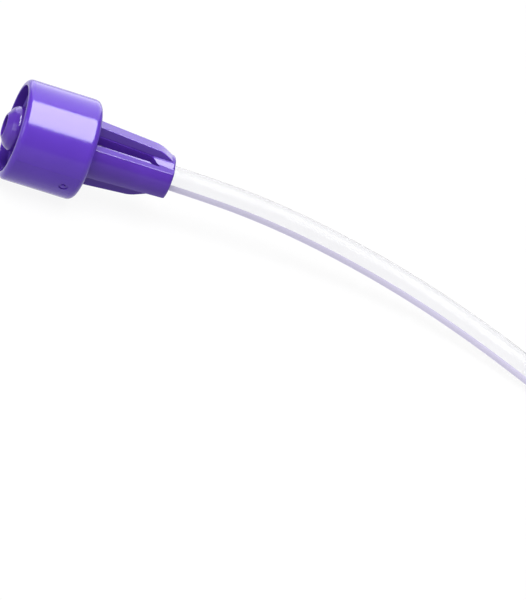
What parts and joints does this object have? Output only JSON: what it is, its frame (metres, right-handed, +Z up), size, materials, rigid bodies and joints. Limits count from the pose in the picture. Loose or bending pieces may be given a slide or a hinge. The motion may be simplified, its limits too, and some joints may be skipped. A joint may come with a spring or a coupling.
{
  "type": "feeding tube",
  "caption": "Slim clear feeding tube with a moulded twist-lock connector: a threaded cup that turns on a finned hub with a tapered male tip. The rest of the tube is a tied coil.",
  "frame": {"origin": "on the table, under the middle of the connector, as it lies with the collar touching the table", "axes": "+X along the connector's axis from the mouth towards the tube, +Z up from the table, +Y to the left of +X"},
  "size_m": [0.1123, 0.0421, 0.0123],
  "materials": {
    "purple_collar": "glossy moulded plastic",
    "purple_hub": "glossy moulded plastic",
    "clear_adhesive": "clear cured adhesive",
    "clear_tube": "soft clear plastic, slightly milky, with a lavender stripe",
    "paper_band": "plain white paper tape",
    "soft_tip": "soft translucent moulded plastic"
  },
  "bodies": {
    "hub": {"tip_hub": "purple_hub", "socket_adhesive": "clear_adhesive", "feed_tube": "clear_tube", "feed_tube_coil": "clear_tube", "feed_tube_tail": "clear_tube", "coil_tie": "paper_band", "distal_tip": "soft_tip"},
    "collar": {"locking_collar": "purple_collar"}
  },
  "joints": [
    {"name": "collar_spin", "type": "hinge", "parent": "hub", "child": "collar", "pos_m": [-0.00085, 0, 0.00615], "axis": [1, 0, 0], "continuous": true}
  ]
}
